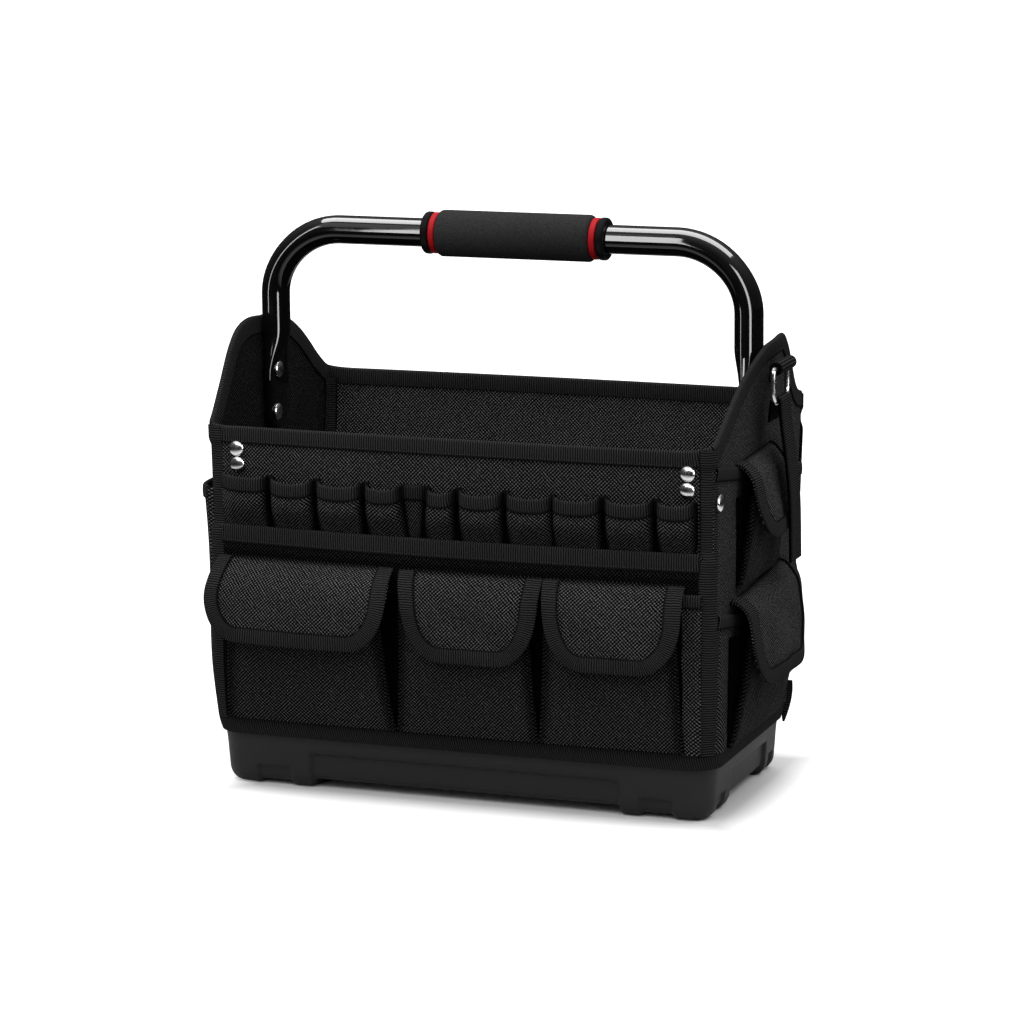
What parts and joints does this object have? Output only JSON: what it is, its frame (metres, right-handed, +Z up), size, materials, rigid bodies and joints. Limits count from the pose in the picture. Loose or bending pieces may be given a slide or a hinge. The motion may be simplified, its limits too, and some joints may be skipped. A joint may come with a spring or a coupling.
{
  "type": "open-top tool tote bag",
  "caption": "Open-top black cloth tool tote on a moulded base, with flap pockets, tool loops, a ring with a hanging strap, and a bent steel tube handle with a foam grip.",
  "frame": {"origin": "on the floor under the middle of the whole bag's box", "axes": "+Z up, +X to the right along the front, +Y from the front to the back"},
  "size_m": [0.4454, 0.3082, 0.4365],
  "materials": {
    "wall_cloth": "coarse plain weave",
    "pocket_cloth": "coarse plain weave",
    "binding_tape": "ribbed tape",
    "webbing": "ribbed webbing",
    "tray_plastic": "fine grained",
    "handle_paint": "gloss black",
    "grip_foam": "matte foam",
    "red_plastic": "satin red",
    "black_plastic": "satin black",
    "nickel": "polished plate"
  },
  "bodies": {
    "root": {"base_tray": "tray_plastic", "front_panel": "wall_cloth", "back_panel": "wall_cloth", "end_panel_right": "wall_cloth", "end_panel_left": "wall_cloth", "front_rim_binding": "binding_tape", "back_rim_binding": "binding_tape", "end_binding_right": "binding_tape", "end_binding_left": "binding_tape", "base_binding": "binding_tape", "front_apron_binding": "binding_tape", "back_apron_binding": "binding_tape", "front_flap_binding_left": "binding_tape", "front_flap_binding_mid": "binding_tape", "front_flap_binding_right": "binding_tape", "back_flap_binding_left": "binding_tape", "back_flap_binding_right": "binding_tape", "side_flap_binding_high": "binding_tape", "side_flap_binding_low": "binding_tape", "loop_strip_left": "pocket_cloth", "loop_strip_mid": "pocket_cloth", "loop_strip_right": "pocket_cloth", "front_apron": "pocket_cloth", "back_apron": "pocket_cloth", "front_edge_strip": "pocket_cloth", "side_slip_high": "pocket_cloth", "side_slip_low": "pocket_cloth", "side_slip_left": "pocket_cloth", "front_pocket_left": "pocket_cloth", "front_flap_left": "pocket_cloth", "front_pocket_mid": "pocket_cloth", "front_flap_mid": "pocket_cloth", "front_pocket_right": "pocket_cloth", "front_flap_right": "pocket_cloth", "back_pocket_left": "pocket_cloth", "back_flap_left": "pocket_cloth", "back_pocket_right": "pocket_cloth", "back_flap_right": "pocket_cloth", "side_pocket_high": "pocket_cloth", "side_flap_high": "pocket_cloth", "side_pocket_low": "pocket_cloth", "side_flap_low": "pocket_cloth", "ring_tab": "webbing", "d_ring": "nickel", "hanging_strap": "webbing", "handle_tube": "handle_paint", "grip": "grip_foam", "red_ring_left": "red_plastic", "red_ring_right": "red_plastic", "collar_left": "black_plastic", "collar_right": "black_plastic", "front_rivet_left_1": "nickel", "front_rivet_left_2": "nickel", "front_rivet_right_1": "nickel", "front_rivet_right_2": "nickel", "handle_rivet_left_1": "nickel", "handle_rivet_left_2": "nickel", "handle_rivet_right_1": "nickel", "handle_rivet_right_2": "nickel", "side_rivet": "nickel"}
  },
  "joints": []
}
